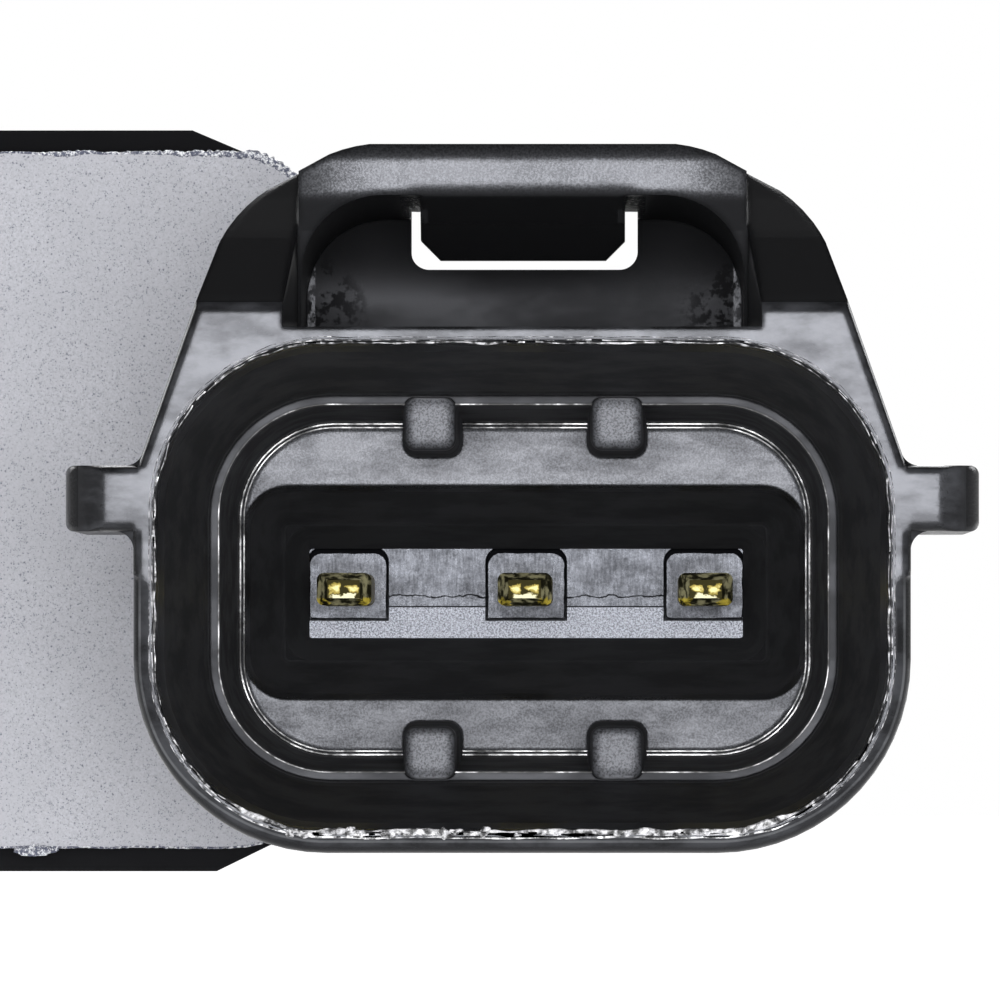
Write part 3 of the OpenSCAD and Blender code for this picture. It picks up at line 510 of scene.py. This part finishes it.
def terminal_finish(look):
    """Thin yellow plating on stamped blades, whose tips' shine is painted: three broken highlight patches on
    their flat faces, and painted reflection with glints on their flanks
    """
    f = Finish("terminal_plating", Metallic=1.0)
    across, high, depth = f.from_plug()
    facing = f.ramp(f.times(f.axis(f.normal, "Y"), -1.0), 0.8, 0.95)
    tip = f.band(depth, *TIPS, 0.1)
    warp = f.ramp(f.noise(0.25 * MM, 3, 0.6, seed=18), 0.2, 0.8, -0.12, 0.12)
    aside = f.abs(f.add(f.math("WRAP", across, PITCH / 2, -PITCH / 2), warp))
    level = f.add(high, f.times(warp, 0.6))
    # Blotches for wear, which also carry the flanks' painted reflection
    wear_and_reflection = f.noise(0.3 * MM, 4, 0.6, seed=5)

    # Painted highlights on each tip's flat face: two patches above at the sides, with a painted glow, and one
    # below in the middle
    upper = f.times(f.band(aside, 0.12, 0.36, 0.05), f.band(level, -0.1, 0.1, 0.05))
    lower = f.times(f.ramp(aside, 0.3, 0.4, 1.0, 0.0), f.band(level, -0.34, -0.17, 0.04))
    glow = f.times(f.band(aside, 0.2, 0.28, 0.1), f.band(level, -0.03, 0.03, 0.08))
    gold = f.mix(glow, look.plating, (0.75, 0.68, 0.32))
    painted_tip_highlights = f.mix(f.larger(upper, lower), (0.03, 0.026, 0.01), f.mix(lower, gold, (0.62, 0.6, 0.42)))

    # The tips' flanks: painted reflection, dark with paler blotches, and painted glints of bright yellow at
    # their lower corners
    flank = f.mix(f.ramp(wear_and_reflection, 0.44, 0.62), (0.035, 0.033, 0.018), (0.24, 0.225, 0.13))
    corners = f.times(f.ramp(aside, 0.36, 0.44), f.ramp(level, -0.3, -0.22, 1.0, 0.0))
    flank = f.mix(f.times(corners, f.ramp(wear_and_reflection, 0.4, 0.5)), flank, (0.5, 0.4, 0.06))
    # Faces that look out take the tips' painted highlights, the others the flanks' painted reflection
    tone = f.mix(tip, look.plating, f.mix(facing, flank, painted_tip_highlights))

    turned = f.times(f.times(tip, f.rest(facing)), f.ramp(wear_and_reflection, 0.35, 0.65, 0.6, 2.2))
    relief = f.lean(f.node("NewGeometry").outputs["Normal"], turned, (0, -1, 0))
    lines = f.noise(0.06 * MM, 2, 0.5, stretch=(1, 0.08, 1), seed=6)
    return f.set(Base_Color=tone, Roughness=f.blend(tip, f.ramp(wear_and_reflection, 0.3, 0.7, 0.3, 0.42), 0.6),
                 Normal=f.bump(lines, 0.003 * MM, 1.0, relief))


def block_finish(look):
    """The terminals' block: smooth black plastic that catches the light, with a painted sheen of pale grey on
    its grain, torn along its upper edge
    """
    f = Finish("block_plastic", Specular_IOR_Level=0.3, Specular_Tint=(0.84, 0.88, 1, 1))
    across, high, depth = f.from_plug()
    wander = f.ramp(f.noise(0.5 * MM, 3, 0.6, seed=11), 0.3, 0.7, -0.05, 0.05)
    level = f.add(high, wander)
    cloud = f.ramp(f.noise(0.5 * MM, 8, 0.75, stretch=(0.6, 1, 1), seed=7), 0.3, 0.7)
    scratch = f.ramp(f.noise(0.05 * MM, 2, 0.6, stretch=(1, 1, 0.12), seed=22), 0.3, 0.7)
    streak = f.blend(0.35, cloud, scratch)
    coarse = f.ramp(f.noise(0.05 * MM, 3, 0.7, seed=9), 0.36, 0.62)

    # How far a point lies outside the nearest pad, a field round each terminal, rounder at its top
    aside = f.abs(f.math("WRAP", across, PITCH / 2, -PITCH / 2))
    corner = f.ramp(high, -0.4, 0.4, 0.08, PAD_ROUND)
    gap = f.outside(aside, f.abs(f.add(high, -PAD_MIDDLE)), PAD_HALF, corner)
    ring = f.ramp(f.less(f.abs(gap), f.times(wander, 0.3)), 0.0, 0.012, 1.0, 0.0)
    beside = f.ramp(gap, 0.02, 0.05)

    # Two fine seams between the pads, where the mould's halves met round the terminals
    wavy = f.ramp(f.abs(f.add(level, -WAVY_SEAM)), 0.01, 0.025, 1.0, 0.0)
    straight = f.ramp(f.abs(f.add(high, -STRAIGHT_SEAM)), 0.01, 0.022, 1.0, 0.0)
    seams = f.larger(f.times(f.larger(wavy, straight), beside), ring)
    # Painted shade in the grooves round the pads, deepest at their tops
    groove_shade = f.times(f.ramp(depth, GROOVES, GROOVES + 0.05), f.ramp(high, -0.75, 0.5, 0.75, 1.0))
    seams_and_groove_shade = f.larger(seams, groove_shade)
    low = f.times(f.ramp(high, -0.5, STRAIGHT_SEAM, 1.0, 0.0), beside)
    torn = f.times(f.ramp(level, *TORN_EDGE), f.ramp(f.noise(0.35 * MM, 4, 0.7, seed=16), 0.45, 0.55))

    rough = f.blend(low, f.blend(streak, 0.44, 0.15), f.blend(coarse, 0.3, 0.1))
    rough = f.blend(seams_and_groove_shade, f.blend(torn, rough, 0.1), 1.0)
    # Painted sheen: the grain paints the strip's black pale grey, standing in for the light it catches
    speck = f.ramp(f.noise(0.06 * MM, 4, 0.75, seed=23), 0.36, 0.64)
    grainy = f.blend(low, f.times(f.times(speck, f.add(streak, 0.35)), 0.6), coarse)
    tone = f.mix(grainy, look.plastic, (0.24, 0.246, 0.27))
    tone = f.mix(torn, tone, (0.35, 0.35, 0.37))
    # Dark seams, and painted shade in the rings and grooves round the pads, near black
    tone = f.mix(seams_and_groove_shade, tone, (0.0005, 0.0005, 0.001))
    return f.set(Base_Color=tone, Roughness=rough,
                 Normal=f.bump(f.noise(0.09 * MM, 3, 0.65, seed=8), 0.0015 * MM))


def turned_finish(name, colour, rough=0.35):
    """Turned or ground metal with fine lines round the bolt's axis"""
    f = Finish(name, Metallic=1.0)
    lines = f.noise(0.08 * MM, 2, 0.5, stretch=(0.3, 1, 0.3), seed=9)
    tone = f.mix(f.ramp(lines, 0.3, 0.7), colour, [c * 0.8 for c in colour])
    return f.set(Base_Color=tone, Roughness=f.ramp(lines, 0.3, 0.7, rough, rough + 0.12),
                 Normal=f.bump(lines, 0.006 * MM))


def soft_finish(name, colour, rough, grain=0.15 * MM):
    """Rubber, plastic, laminate or fired clay with a fine grain"""
    f = Finish(name)
    lumps = f.noise(grain, 3, 0.6, seed=10)
    tone = f.mix(f.ramp(lumps, 0.3, 0.7), colour, [c * 1.35 for c in colour])
    return f.set(Base_Color=tone, Roughness=f.ramp(lumps, 0.3, 0.7, rough, rough + 0.15),
                 Normal=f.bump(lumps, 0.008 * MM))


# Helpers for meshes


def to_object(name, mesh, finish):
    """Makes a bmesh an object of the scene and gives it its finish"""
    data = bpy.data.meshes.new(name)
    mesh.to_mesh(data)
    mesh.free()
    data.materials.append(finish.material)
    made = bpy.data.objects.new(name, data)
    bpy.context.scene.collection.objects.link(made)
    return made


def piece(name, mesh, finish, slot):
    """Makes a bmesh a piece of the sensor, which rides on its one body"""
    bmesh.ops.recalc_face_normals(mesh, faces=mesh.faces)
    made = to_object(name, mesh, finish)
    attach(made, ROOT)


def lip(mesh, path, rows, place):
    """A closed lip along a closed path, whose corners lie where place(at, out, row) says for each point
    of the path, the way out there and each row round the lip"""
    columns = len(path)
    made = bmesh.ops.create_grid(mesh, x_segments=columns, y_segments=rows, size=1)["verts"]
    for vert in made:
        column = round((vert.co.x + 1) / 2 * columns) % columns
        row = round((vert.co.y + 1) / 2 * rows) % rows
        vert.co = place(*path[column], row)
    bmesh.ops.remove_doubles(mesh, verts=made, dist=1e-7)


def walk(parts, start, count):
    """Points along a closed path that starts to the right, with the way out at each; every part is
    a straight of a length and then a quarter turn to the right of a radius"""
    step = sum(length + radius * math.pi / 2 for length, radius in parts) / count
    found = []
    at, heading, done = start, 0.0, 0.0
    for length, radius in parts:
        way = Vector((math.cos(heading), math.sin(heading)))
        out = Vector((-way.y, way.x))
        centre = at + way * length - out * radius
        size = length + radius * math.pi / 2
        while len(found) < count and len(found) * step < done + size:
            along = len(found) * step - done
            if along <= length:
                found.append((at + way * along, out))
            else:
                ray = Matrix.Rotation((length - along) / radius, 2) @ out
                found.append((centre + ray * radius, ray))
        done += size
        at = centre + way * radius
        heading -= math.pi / 2
    return found


def mouth_path(inset, count):
    """Points inside the outline of the socket's mouth in (x, z) from its middle, all round"""
    half = MOUTH_HALF - Vector((inset, inset))
    radius = MOUTH_ROUND - inset
    wide, tall = 2 * (half.x - radius), 2 * (half.y - radius)
    return walk(2 * ((wide, radius), (tall, radius)), Vector((-wide / 2, half.y)), count)


def plate_path(count):
    """Points round the plate's outline in (x, z), from above the bolt's axis on"""
    half = (PLATE_HIGH.z - PLATE_LOW.z) / 2
    straight = PLATE_HIGH.x - PLATE_ROUND
    parts = ((straight, PLATE_ROUND), (2 * (half - PLATE_ROUND), PLATE_ROUND), (straight, half), (0, half))
    return walk(parts, Vector((0, half)), count)


# Operators


class SENSOR_OT_finish_housing(bpy.types.Operator):
    """Gives the moulded housing its black plastic"""

    bl_idname = "sensor.finish_housing"
    bl_label = "Finish Housing"

    def execute(self, context):
        dress("housing", HousingPlastic(context.scene.sensor_finish))
        return {"FINISHED"}


# Ridges of flash: how far inside the mouth's outline, and their share of the flash's width
RIDGES = ((0.43 * MM, 0.45), (0.51 * MM, 0.6), (0.58 * MM, 0.9))

# Flakes on the mouth's lower rim: where they start and end in mm from its middle, how many, and their size
FLAKES = ((-6.4, -0.9, 11, 0.2 * MM), (-0.7, 6.2, 9, 0.09 * MM))

# Seams in the socket: how far inside the mouth's outline, how far behind it, and about half their width
SEAMS = (
    (2.13 * MM, 6.3 * MM, 0.03 * MM),
    (2.57 * MM, 12.38 * MM, 0.04 * MM),
    (2.67 * MM, 12.46 * MM, 0.03 * MM),
)

# Steps along each ridge and each seam
RIDGE_STEPS = 1400
SEAM_STEPS = 480


class SENSOR_OT_add_flash(bpy.types.Operator):
    """Adds the thin torn flash round the socket's mouth and the fine seams behind it"""

    bl_idname = "sensor.add_flash"
    bl_label = "Add Flash and Seams"

    def execute(self, context):
        look = context.scene.sensor_finish
        edges = context.scene.sensor_edges
        mesh = bmesh.new()
        for number, (inset, share) in enumerate(RIDGES):
            self.ridge(mesh, inset, edges.flash_width * share, edges.flash_height, number)
        draw = random.Random(7)
        for start, end, count, size in FLAKES:
            for number in range(count):
                right = start + (end - start) * (number + draw.uniform(0.1, 0.9)) / count
                self.flake(mesh, right * MM, size, draw)
        piece("mouth_flash", mesh, flash_finish(), "housing_plastic")
        mesh = bmesh.new()
        for inset, depth, wide in SEAMS:
            self.seam(mesh, inset, depth, wide)
        piece("socket_seams", mesh, seam_finish(look), "housing_plastic")
        return {"FINISHED"}

    def flake(self, mesh, right, size, draw):
        """A torn flake that lies on the mouth's lower rim"""
        made = bmesh.ops.create_icosphere(mesh, subdivisions=3, radius=1)["verts"]
        wide, tall = size * draw.uniform(0.45, 1.3), size * draw.uniform(0.35, 0.65)
        centre = Vector((right, draw.uniform(-0.03, 0.03) * MM, -MOUTH_HALF.y + draw.uniform(0.5, 0.6) * MM))
        shift = Vector((draw.uniform(0, 50), 0, 0))
        for vert in made:
            lump = 1 + 0.9 * noise.noise(vert.co * 1.3 + shift) + 0.25 * noise.noise(vert.co * 3.0 + shift)
            vert.co = Vector((vert.co.x * wide, vert.co.y * 0.05 * MM, vert.co.z * tall)) * lump
            vert.co += centre + PLUG

    def seam(self, mesh, inset, depth, wide):
        """A fine flat-topped line round the socket, at a depth behind the mouth"""
        section = ((-0.9, -1.0), (-0.5, 0.6), (0.5, 0.6), (0.9, -1.0))
        height = 0.02 * MM

        def place(at, out, row):
            across, up = section[row]
            where = at + out * across * wide
            return Vector((PLUG.x + where.x, PLUG.y + depth - up * height, PLUG.z + where.y))

        lip(mesh, mouth_path(inset, SEAM_STEPS), len(section), place)

    def ridge(self, mesh, inset, width, height, number):
        """One ridge of flash, whose crest wanders, swells and breaks, most of all along the lower side"""
        section = ((-0.5, -0.5), (-0.35, 0.7), (0.0, 1.0), (0.35, 0.7), (0.5, -0.5))

        def place(at, out, row):
            spot = Vector((at.x / MM, at.y / MM, number * 7.0))
            lower = min(1.0, max(0.0, -at.y / MM - 4.5) / 2.0)
            swell = max(0.0, noise.noise(spot * 1.1 + Vector((0, 3, 0))) + 0.15 + 0.3 * lower)
            wide = width * (0.5 + 2.2 * swell * (0.4 + lower) + 0.5 * noise.noise(spot * 6.0))
            shown = max(0.0, min(1.0, 0.6 + 3.0 * noise.noise(spot * 2.3 + Vector((5, 0, 0)))))
            if lower > 0.9:
                shown *= max(0.0, 1 - 1.5 * swell) if number < 2 else 0.6
            wander = noise.noise(spot * 1.7) * width * 0.8
            across, up = section[row]
            where = at + out * (wander + across * max(wide, width * 0.2))
            tear = 0.35 * noise.noise(spot * 8.0 + Vector((0, 0, across)))
            lift = height * (up + tear) * shown if up > 0 else height * up
            return Vector((PLUG.x + where.x, PLUG.y - lift, PLUG.z + where.y))

        lip(mesh, mouth_path(inset, RIDGE_STEPS), len(section), place)


# Places on the plate's upper edge where it is torn more: how far right and how wide in mm, and how much
TEARS = ((16.9, 0.7, 0.9), (21.0, 1.9, 1.1), (22.9, 1.0, 1.5))

# Steps along the plate's edge
EDGE_STEPS = 2400

# The chip's middle and half its size
CHIP = Vector((16.0 * MM, PLATE_LOW.y, PLATE_LOW.z - 0.08 * MM))
CHIP_HALF = Vector((0.55, 0.1, 0.15)) * MM


class SENSOR_OT_finish_plate(bpy.types.Operator):
    """Finishes the mounting plate and adds the lip torn along its edge and the chip on it"""

    bl_idname = "sensor.finish_plate"
    bl_label = "Finish Mounting Plate"

    def execute(self, context):
        dress("mounting_plate", plate_finish(context.scene.sensor_finish))
        torn = burr_finish()
        mesh = bmesh.new()
        self.torn_edge(mesh, context.scene.sensor_edges.ragged)
        piece("plate_edge", mesh, torn, "plate_metal")
        mesh = bmesh.new()
        self.chip(mesh)
        piece("plate_chip", mesh, torn, "plate_metal")
        return {"FINISHED"}

    def torn_edge(self, mesh, ragged):
        """The rough lip round the plate's front edge, broad where the tool tore it"""
        section = ((0.1, -3.0), (0.5, -0.3), (0.2, 0.5), (-0.7, 0.35), (-1.6, -0.3))

        def place(at, out, row):
            right = at.x / MM
            swell = 0.15
            if at.y > 0:
                for middle, wide, share in TEARS:
                    swell += share * math.exp(-((right - middle) / wide) ** 2)
            spot = Vector((right, at.y / MM, 3.0))
            rough = 0.7 * noise.noise(spot * 1.4) + 0.4 * noise.noise(spot * 6.5)
            across, up = section[row]
            fine = (0.2 + 0.3 * swell) * noise.noise(spot * 9.0 + Vector((0, 0, row)))
            reach = across * (0.25 + 0.75 * swell)
            if up > -1:
                reach += rough * min(1, swell + 0.3) + fine
            lift = (up * (0.4 + 0.6 * swell) + 0.6 * fine) * ragged
            where = at + out * reach * ragged
            return Vector((where.x, PLATE_LOW.y - max(lift, -3 * ragged), where.y))

        lip(mesh, plate_path(EDGE_STEPS), len(section), place)

    def chip(self, mesh):
        """The torn chip that hangs on the plate's lower edge"""
        made = bmesh.ops.create_icosphere(mesh, subdivisions=5, radius=1)["verts"]
        for vert in made:
            lump = 1 + 0.35 * noise.noise(vert.co * 2.1) + 0.18 * noise.noise(vert.co * 6.0)
            vert.co = vert.co * CHIP_HALF * lump + CHIP


class SENSOR_OT_finish_terminals(bpy.types.Operator):
    """Plates the terminals and finishes the block that holds them"""

    bl_idname = "sensor.finish_terminals"
    bl_label = "Finish Terminals"

    def execute(self, context):
        look = context.scene.sensor_finish
        plating = terminal_finish(look)
        for side in ("left", "middle", "right"):
            dress("terminal_" + side, plating)
        dress("terminal_block", block_finish(look))
        return {"FINISHED"}


class SENSOR_OT_finish_fixings(bpy.types.Operator):
    """Finishes the bolt's bush, the seal and the probe's cap"""

    bl_idname = "sensor.finish_fixings"
    bl_label = "Finish Bush, Seal and Cap"

    def execute(self, context):
        look = context.scene.sensor_finish
        dress("bolt_bush", turned_finish("bush_steel", look.steel))
        dress("o_ring", soft_finish("seal_rubber", look.rubber, 0.45))
        dress("probe_cap", soft_finish("cap_plastic", look.plastic, 0.4, 0.2 * MM))
        return {"FINISHED"}


class SENSOR_OT_finish_inner_parts(bpy.types.Operator):
    """Finishes the parts sealed inside the probe"""

    bl_idname = "sensor.finish_inner_parts"
    bl_label = "Finish Inner Parts"

    def execute(self, context):
        lead = turned_finish("lead_metal", (0.7, 0.7, 0.68), 0.3)
        for side in ("left", "middle", "right"):
            dress("chip_lead_" + side, lead)
        dress("pole_piece", turned_finish("pole_steel", (0.35, 0.35, 0.36)))
        dress("bias_magnet", soft_finish("magnet_ferrite", (0.03, 0.03, 0.035), 0.4))
        dress("sensor_carrier", soft_finish("carrier_plastic", (0.05, 0.05, 0.055), 0.5))
        dress("sensing_chip", soft_finish("chip_plastic", (0.01, 0.01, 0.011), 0.55))
        dress("circuit_board", soft_finish("board_laminate", (0.01, 0.08, 0.03), 0.35, 0.4 * MM))
        capacitor = soft_finish("capacitor_body", (0.3, 0.2, 0.11), 0.45)
        dress("supply_capacitor", capacitor)
        dress("output_capacitor", capacitor)
        dress("pull_up_resistor", soft_finish("resistor_body", (0.01, 0.01, 0.01), 0.4))
        return {"FINISHED"}


# The camera stands straight in front of the first point and looks at the second one
EYE = Vector((32.63 * MM, PLUG.y, -4.56 * MM))
AIM = Vector((29.41 * MM, PLUG.y, -0.26 * MM))

# Half the floor's width in metres, how bright it is to the camera, and its share of that in shiny pieces
FLOOR_HALF = 3
FLOOR_GLOW = 0.85
FLOOR_GLEAM = 0.15

# Height of the pale band round the horizon, its strength in shiny pieces, and the world's dim light
HORIZON = 0.3
HORIZON_GLEAM = 0.4
WORLD_LIGHT = 0.3

# Lamps at the sides, behind and above: the way to each from the sensor's middle, and its radiance
SENSOR_MIDDLE = Vector((0.025, -0.005, 0))
LAMPS = {
    "left_lamp": ((-1, 0.7, 0.5), 8),
    "right_lamp": ((1, 0.7, 0.5), 8),
    "back_lamp": ((0.1, 1, 0.3), 9),
    "top_lamp": ((0, 0.9, 1.1), 9),
}
LAMP_DISTANCE = 0.7
LAMP_SIZE = 0.3

# How far behind the camera the front lamp hangs
LAMP_BEHIND = 0.1


class SENSOR_OT_set_stage(bpy.types.Operator):
    """Sets the floor, the white background, the lamps and the camera"""

    bl_idname = "sensor.set_stage"
    bl_label = "Set Stage"

    def execute(self, context):
        stage = context.scene.sensor_stage
        self.add_floor(stage)
        self.set_world(context)
        self.add_camera(context, stage)
        self.add_lamps(stage)
        context.scene.view_settings.view_transform = "Standard"
        return {"FINISHED"}

    def add_floor(self, stage):
        mesh = bmesh.new()
        bmesh.ops.create_grid(mesh, x_segments=1, y_segments=1, size=FLOOR_HALF)
        bmesh.ops.translate(mesh, verts=mesh.verts, vec=(0, 0, HOUSING_LOW.z - stage.floor_drop))
        f = Finish("floor_card", Roughness=0.9, Base_Color=(0.86, 0.86, 0.86, 1), Specular_IOR_Level=0.1)
        path = f.node("LightPath")
        shiny = f.larger(path.outputs["Is Glossy Ray"], path.outputs["Is Transmission Ray"])
        seen = f.larger(path.outputs["Is Camera Ray"], f.times(shiny, FLOOR_GLEAM))
        f.set(Emission_Color=(1, 1, 1, 1), Emission_Strength=f.times(seen, FLOOR_GLOW))
        floor = to_object("floor", mesh, f)

    def set_world(self, context):
        """White to the camera, a pale band round the horizon in shiny pieces, and dim otherwise"""
        world = context.scene.world or bpy.data.worlds.new("world")
        context.scene.world = world
        world.use_nodes = True
        tree = world.node_tree
        sky = tree.nodes["Background"]
        sky.inputs["Color"].default_value = (1, 1, 1, 1)

        def put(operation, *values):
            made = tree.nodes.new("ShaderNodeMath")
            made.operation = operation
            for socket, value in zip(made.inputs, values):
                if isinstance(value, bpy.types.NodeSocket):
                    tree.links.new(value, socket)
                else:
                    socket.default_value = value
            return made.outputs[0]

        path = tree.nodes.new("ShaderNodeLightPath").outputs
        split = tree.nodes.new("ShaderNodeSeparateXYZ")
        tree.links.new(tree.nodes.new("ShaderNodeTexCoord").outputs["Generated"], split.inputs[0])
        low = put("LESS_THAN", put("ABSOLUTE", split.outputs["Z"]), HORIZON)
        shiny = put("MAXIMUM", path["Is Glossy Ray"], path["Is Transmission Ray"])
        shiny = put("MULTIPLY", shiny, put("MULTIPLY", low, HORIZON_GLEAM))
        seen = put("MAXIMUM", path["Is Camera Ray"], shiny)
        dim = put("MULTIPLY", path["Is Diffuse Ray"], WORLD_LIGHT)
        tree.links.new(put("MAXIMUM", seen, dim), sky.inputs["Strength"])

    def add_camera(self, context, stage):
        data = bpy.data.cameras.new("camera")
        data.sensor_width = 36
        data.lens = data.sensor_width * stage.distance / stage.view_width
        data.clip_start = 0.01
        camera = bpy.data.objects.new("camera", data)
        context.scene.collection.objects.link(camera)
        camera.location = (EYE.x, EYE.y - stage.distance, EYE.z)
        camera.rotation_euler = (AIM - camera.location).to_track_quat("-Z", "Y").to_euler()
        context.scene.camera = camera

    def add_lamps(self, stage):
        reach = stage.distance + LAMP_BEHIND
        self.add_lamp("front_lamp", EYE + Vector((0, -reach, 0)), EYE,
                      2 * reach * math.tan(stage.lamp_angle), stage.lamp_level)
        for name, (way, radiance) in LAMPS.items():
            spot = SENSOR_MIDDLE + Vector(way).normalized() * LAMP_DISTANCE
            self.add_lamp(name, spot, SENSOR_MIDDLE, LAMP_SIZE, radiance)

    def add_lamp(self, name, at, aim, size, radiance):
        data = bpy.data.lights.new(name, "AREA")
        data.shape = "DISK"
        data.size = size
        data.energy = radiance * math.pi * math.pi * (size / 2) ** 2
        lamp = bpy.data.objects.new(name, data)
        bpy.context.scene.collection.objects.link(lamp)
        lamp.location = at
        lamp.rotation_euler = (aim - at).to_track_quat("-Z", "Y").to_euler()


class SENSOR_PT_panel(bpy.types.Panel):
    """Lists the steps that dress the sensor"""

    bl_label = "Speed Sensor"
    bl_space_type = "VIEW_3D"
    bl_region_type = "UI"
    bl_category = "Speed Sensor"

    def draw(self, context):
        for step in STEPS:
            self.layout.operator(step.bl_idname)
        for group in ("sensor_finish", "sensor_edges", "sensor_stage"):
            settings = getattr(context.scene, group)
            box = self.layout.box()
            for name in settings.bl_rna.properties.keys():
                if name not in ("rna_type", "name"):
                    box.prop(settings, name)


STEPS = (SENSOR_OT_finish_housing, SENSOR_OT_add_flash, SENSOR_OT_finish_plate, SENSOR_OT_finish_terminals,
         SENSOR_OT_finish_fixings, SENSOR_OT_finish_inner_parts, SENSOR_OT_set_stage)
GROUPS = {"sensor_finish": SensorFinish, "sensor_edges": SensorEdges, "sensor_stage": SensorStage}


def register():
    for kind in (*GROUPS.values(), *STEPS, SENSOR_PT_panel):
        bpy.utils.register_class(kind)
    for name, group in GROUPS.items():
        setattr(bpy.types.Scene, name, bpy.props.PointerProperty(type=group))


def unregister():
    for name in GROUPS:
        delattr(bpy.types.Scene, name)
    for kind in reversed((*GROUPS.values(), *STEPS, SENSOR_PT_panel)):
        bpy.utils.unregister_class(kind)


def main():
    register()
    bpy.ops.sensor.finish_housing()
    bpy.ops.sensor.add_flash()
    bpy.ops.sensor.finish_plate()
    bpy.ops.sensor.finish_terminals()
    bpy.ops.sensor.finish_fixings()
    bpy.ops.sensor.finish_inner_parts()
    bpy.ops.sensor.set_stage()


if __name__ == "__main__":
    main()
